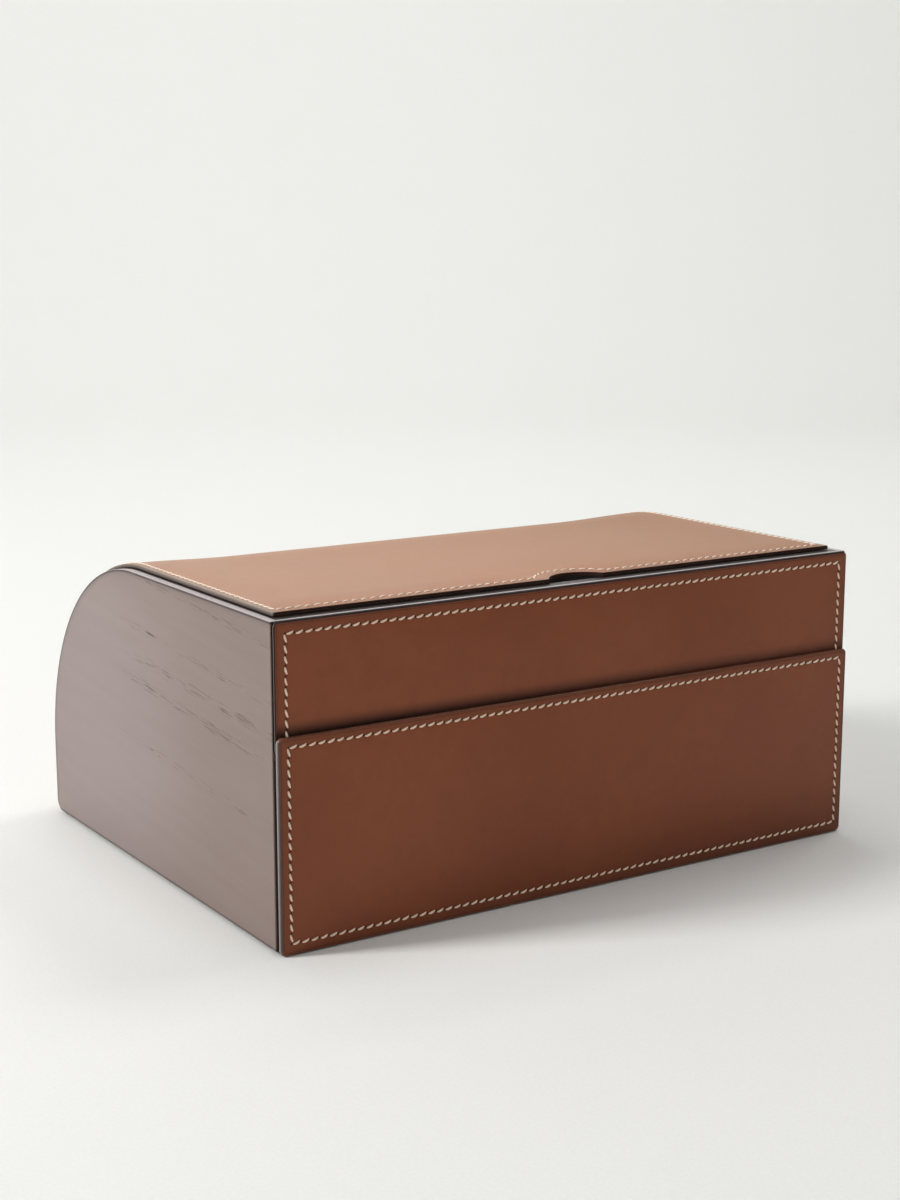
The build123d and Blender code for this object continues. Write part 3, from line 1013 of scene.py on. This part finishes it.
bm = bmesh.new()
two_layers(bm, notched_outline())
paint_rims(bm)
cut_across(bm, 1, top_cuts)
cut_across(bm, 1, [place for place in bend_cuts if place < LID_END - 2])
cut_across(bm, 0, width_cuts)
settle(bm, over_shoulder)
lid_skin = leather_finish(
    "lid_leather",
    lid_rows,
    (-LID_HALF, LID_HALF, LID_FRONT, LID_END),
    LID_HIDE,
    (NOTCH_V, NOTCH_RADIUS),
    side_paint=LID_BORDER,
    # painted shade towards the right
    shade_to_right=0.35,
)
make_piece(
    bm, "lid_cover_leather", "lid", [lid_skin, lid_edge], ["lid_leather"]
)

bm = bmesh.new()
two_layers(
    bm,
    [(-LID_HALF, BACK_END), (LID_HALF, BACK_END)] + recessed_edge(BACK_START, LEAF_THICKNESS),
)
paint_rims(bm)
cut_across(bm, 1, [place for place in bend_cuts if place > BACK_START + 2] + [UPRIGHT_V])
cut_across(bm, 0, width_cuts)
settle(bm, over_shoulder)
back_skin = leather_finish(
    "back_leather",
    back_rows,
    (-LID_HALF, LID_HALF, BACK_START, BACK_END),
    LID_HIDE,
    side_paint=LID_BORDER,
    # painted shade towards the right
    shade_to_right=0.35,
)
make_piece(
    bm, "back_cover_leather", "carcass", [back_skin, lid_edge], ["back_leather"]
)


PANEL_CORNER = 2.5
PANEL_RIM = 0.85
BACKING_RIM = 0.4


def panel(low, high, rim=0.0, rear_rim=0.0):
    """A leather panel for the front, laid flat, with rounded corners and edges."""
    thickness = high.y - low.y
    bm = bmesh.new()
    slab(bm, rectangle(low.x, high.x, low.z, high.z), 0, thickness)
    round_edges(bm, upright_edges(bm, 0, thickness), PANEL_CORNER, 6)
    if rim:
        round_edges(bm, edges_at(bm, thickness), rim, 5)
    if rear_rim:
        round_edges(bm, edges_at(bm, 0), rear_rim, 2)
    paint_rims(bm)
    settle(bm, on_front(high.y))
    return bm


upper_skin = leather_finish(
    "upper_panel_leather",
    upper_rows,
    (upper_low.x, upper_high.x, upper_low.z, upper_high.z),
    SHADED_FRONT_HIDE,
    top_paint=(0.8, tone(50, 42, 42)),
    side_paint=(0.5, tone(62, 34, 28)),
    # a painted shadow over the panel's foot, just above the drawer panel
    foot=(outer_high.z - 0.4, 7.5, 1.0, 0.6),
    sheen=0.12,
)
make_piece(
    panel(upper_low, upper_high, rim=PANEL_RIM),
    "upper_panel_leather",
    "carcass",
    [upper_skin, upper_edge],
    ["front_rail_leather"],
)
outer_skin = leather_finish(
    "drawer_panel_leather",
    outer_rows,
    (outer_low.x, outer_high.x, outer_low.z, outer_high.z),
    SHADED_FRONT_HIDE,
    # edge paint on the side borders, made greyer by painted light from the side
    side_paint=(1.05, tone(88, 70, 64)),
    # painted shade growing towards the panel's bottom, stronger at the right
    foot=(outer_low.z, 34.0, 0.08, 0.32),
    sheen=0.12,
)
make_piece(
    panel(outer_low, outer_high, rim=PANEL_RIM),
    "drawer_panel_leather",
    "drawer",
    [outer_skin, outer_edge],
    ["drawer_front_leather"],
)
make_piece(
    panel(backing_low, backing_high, rear_rim=BACKING_RIM),
    "drawer_panel_backing",
    "drawer",
    [outer_skin, backing_edge],
    ["drawer_front_backing"],
)


# ---------------------------------------------------------------- thread
# Half the thread's width, how far a stitch curls aside, and how deep its ends dive.
THREAD_HALF = 0.5
THREAD_CURL = 0.24
THREAD_DIVE = 0.36


def stitch_shape(rise):
    """One stitch along X: fat where it leaves its hole, both ends sinking into the leather.

    rise is how far its middle stands out of the leather.
    """
    half = STITCH_LENGTH / 2
    bm = bmesh.new()
    bmesh.ops.create_uvsphere(bm, u_segments=8, v_segments=8, radius=1)
    bmesh.ops.rotate(bm, matrix=Matrix.Rotation(pi / 2, 3, "Y"), verts=bm.verts)
    for vert in bm.verts:
        share = vert.co.x
        swell = 1.06 - 0.14 * share
        vert.co.y = vert.co.y * THREAD_HALF * swell + THREAD_CURL * (share * share - 0.4)
        vert.co.z = rise * (vert.co.z * 0.66 * swell + 0.34) - THREAD_DIVE * share ** 4
        vert.co.x = half * share * (1.12 - 0.12 * share * share)
    strand = bm.verts.layers.float_vector.new("strand")
    for vert in bm.verts:
        vert[strand] = vert.co * MM
    mesh = bpy.data.meshes.new("stitch_shape")
    bm.to_mesh(mesh)
    bm.free()
    return mesh


# How much the hand varies each stitch: its lean in degrees, its place and its length. The
# probe is the distance over which the surface's direction is taken.
LEAN_SPREAD = 2.5
PLACE_SPREAD = 0.06
LENGTH_SPREAD = 0.05
PROBE = 0.2


def sew(name, body, rows, place, surface, thread, seed, rise):
    """Sews a piece's rows of stitches as one object of thread.

    place lays the flat sheet on the box, and surface is how far its face lies out of it.
    """
    hand = Random(seed)
    shape = stitch_shape(rise)
    bm = bmesh.new()
    for row in rows:
        for u, v, angle in row.stitches():
            lean = angle + STITCH_SLANT + radians(hand.uniform(-LEAN_SPREAD, LEAN_SPREAD))
            u += hand.uniform(-PLACE_SPREAD, PLACE_SPREAD)
            v += hand.uniform(-PLACE_SPREAD, PLACE_SPREAD)
            length = hand.uniform(1 - LENGTH_SPREAD, 1 + LENGTH_SPREAD)
            east, north = PROBE * cos(lean), PROBE * sin(lean)
            spot = place(u, v, surface)
            ahead = (place(u + east, v + north, surface) - spot).normalized()
            aside = place(u - north, v + east, surface) - spot
            out = ahead.cross(aside).normalized()
            across = out.cross(ahead)
            turn = Matrix((ahead * length, across, out)).transposed().to_4x4()
            copy = shape.copy()
            copy.transform(Matrix.Translation(spot) @ turn)
            bm.from_mesh(copy)
            bpy.data.meshes.remove(copy)
    bpy.data.meshes.remove(shape)
    return make_piece(bm, name, body, [thread], crisp=80)


# The stitches of the lid and the back lie lower than those of the front panels.
LOW_RISE = 0.48
FULL_RISE = 0.66
on_upper = on_front(upper_high.y)
on_drawer = on_front(outer_high.y)
sew("lid_stitching", "lid", lid_rows, over_shoulder, SKIN_TOP, lit_lid_thread, 3, LOW_RISE)
sew("back_stitching", "carcass", back_rows, over_shoulder, SKIN_TOP, lit_lid_thread, 5, LOW_RISE)
sew(
    "upper_panel_stitching",
    "carcass",
    upper_rows,
    on_upper,
    PANEL_SKIN,
    panel_thread,
    7,
    FULL_RISE,
)
sew(
    "drawer_panel_stitching",
    "drawer",
    outer_rows,
    on_drawer,
    PANEL_SKIN,
    panel_thread,
    11,
    FULL_RISE,
)


# ---------------------------------------------------------------- felt pads
PAD_TAPER = 0.1
PAD_ROUND = 0.35
for side in ("left", "right"):
    for end in ("front", "rear"):
        pad_node = "foot_pad_" + end + "_" + side
        low, high = box_mm(pad_node)
        pad_radius = (high.x - low.x) / 2
        bm = bmesh.new()
        bmesh.ops.create_cone(
            bm,
            cap_ends=True,
            segments=40,
            radius1=pad_radius,
            radius2=pad_radius - PAD_TAPER,
            depth=high.z - low.z,
        )
        bmesh.ops.translate(bm, vec=(low + high) / 2, verts=bm.verts)
        round_edges(bm, edges_at(bm, low.z), PAD_ROUND, 2)
        make_piece(bm, "felt_pad_" + end + "_" + side, "carcass", [felt], [pad_node])


# ---------------------------------------------------------------- studio
def studio_finish():
    """Pale seamless paper, greyer on the wall that faces the front of the box."""
    finish = Finish("studio_paper")
    place = finish.place()
    depth = finish.parts(place)[1]
    fibre = finish.noise(place, 700.0, 2.0, 0.5)
    colour = finish.blend(fibre.smooth(0.3, 0.7), tone(232, 232, 229), tone(235, 235, 232))
    colour = finish.blend(depth.smooth(-2.5, -0.9, 1.0, 0.0), colour, tone(120, 120, 120))
    return finish.seal(Base_Color=colour, Roughness=0.9, Specular_IOR_Level=0.1)


def studio_sweep():
    """A round seamless backdrop: a floor that curves up into a wall."""
    radius, wall, curve, steps = 3.0, 3.4, 0.9, 12
    bm = bmesh.new()
    profile = [(0.0, 0.0), (radius - curve, 0.0)]
    for number in range(1, steps + 1):
        turn = number / steps * pi / 2
        profile.append((radius - curve + curve * sin(turn), curve - curve * cos(turn)))
    profile.append((radius, wall))
    verts = [bm.verts.new((reach, 0, height)) for reach, height in profile]
    edges = [bm.edges.new(pair) for pair in zip(verts, verts[1:])]
    bmesh.ops.spin(
        bm,
        geom=[*verts, *edges],
        cent=(0, 0, 0),
        axis=(0, 0, 1),
        angle=2 * pi,
        steps=72,
        use_merge=True,
    )
    bmesh.ops.remove_doubles(bm, verts=bm.verts, dist=1e-5)
    bmesh.ops.recalc_face_normals(bm, faces=bm.faces)
    mesh = bpy.data.meshes.new("studio_sweep")
    bm.to_mesh(mesh)
    bm.free()
    mesh.materials.append(studio_finish())
    mesh.shade_smooth()
    sweep = bpy.data.objects.new("studio_sweep", mesh)
    scene.collection.objects.link(sweep)


def softbox(name, place, aim, width, height, power):
    """A rectangular soft white light that faces a point."""
    lamp = bpy.data.lights.new(name, "AREA")
    lamp.shape = "RECTANGLE"
    lamp.size = width
    lamp.size_y = height
    lamp.energy = power
    holder = bpy.data.objects.new(name, lamp)
    holder.location = place
    holder.rotation_euler = (Vector(aim) - Vector(place)).to_track_quat("-Z", "Y").to_euler()
    scene.collection.objects.link(holder)


studio_sweep()
KEY_POWER = 28.5
TOP_POWER = 6.0
OVER_POWER = 8.7
SIDE_POWER = 10.5
BACKDROP_POWER = 26.5
HIGH_POWER = 11.0
FRONT_POWER = 5.2
AIR_STRENGTH = 0.02
FOOT_MIDDLE = (0, 0, 0)
PANEL_MIDDLE = (0, 0, 0.07)
WALL_LOW = (0.9, 3.0, 0.9)
WALL_HIGH = (1.3, 2.6, 1.9)
softbox("key_softbox", (-1.63, 0.42, 1.12), FOOT_MIDDLE, 0.34, 0.8, KEY_POWER)
softbox("top_softbox", (-0.15, 0.55, 2.4), FOOT_MIDDLE, 1.2, 0.8, TOP_POWER)
softbox("over_softbox", (-0.1, -0.45, 2.35), FOOT_MIDDLE, 1.0, 0.8, OVER_POWER)
softbox("side_softbox", (1.15, 0.1, 2.0), FOOT_MIDDLE, 0.8, 0.8, SIDE_POWER)
softbox("backdrop_softbox", (0.6, 1.5, 2.6), WALL_LOW, 1.8, 0.8, BACKDROP_POWER)
softbox("high_softbox", (0.3, 0.9, 2.6), WALL_HIGH, 1.6, 0.8, HIGH_POWER)
softbox("front_softbox", (0.25, -2.35, 0.6), PANEL_MIDDLE, 1.0, 0.5, FRONT_POWER)

world = bpy.data.worlds.new("studio_air")
scene.world = world
world.use_nodes = True
air = world.node_tree.nodes["Background"]
air.inputs["Color"].default_value = (1.0, 1.0, 1.0, 1.0)
air.inputs["Strength"].default_value = AIR_STRENGTH
scene.view_settings.view_transform = "Standard"

# The camera that a fit to the photograph's edges gave.
AZIMUTH = radians(33.009)
ELEVATION = radians(11.008)
LENS = 57.66
CAMERA_PLACE = (-0.5145, -0.8, 0.300575)
camera_data = bpy.data.cameras.new("camera")
camera_data.lens = LENS
camera_data.sensor_width = 36.0
camera = bpy.data.objects.new("camera", camera_data)
camera.location = CAMERA_PLACE
look = Vector(
    (sin(AZIMUTH) * cos(ELEVATION), cos(AZIMUTH) * cos(ELEVATION), -sin(ELEVATION))
)
camera.rotation_euler = look.to_track_quat("-Z", "Y").to_euler()
scene.collection.objects.link(camera)
scene.camera = camera
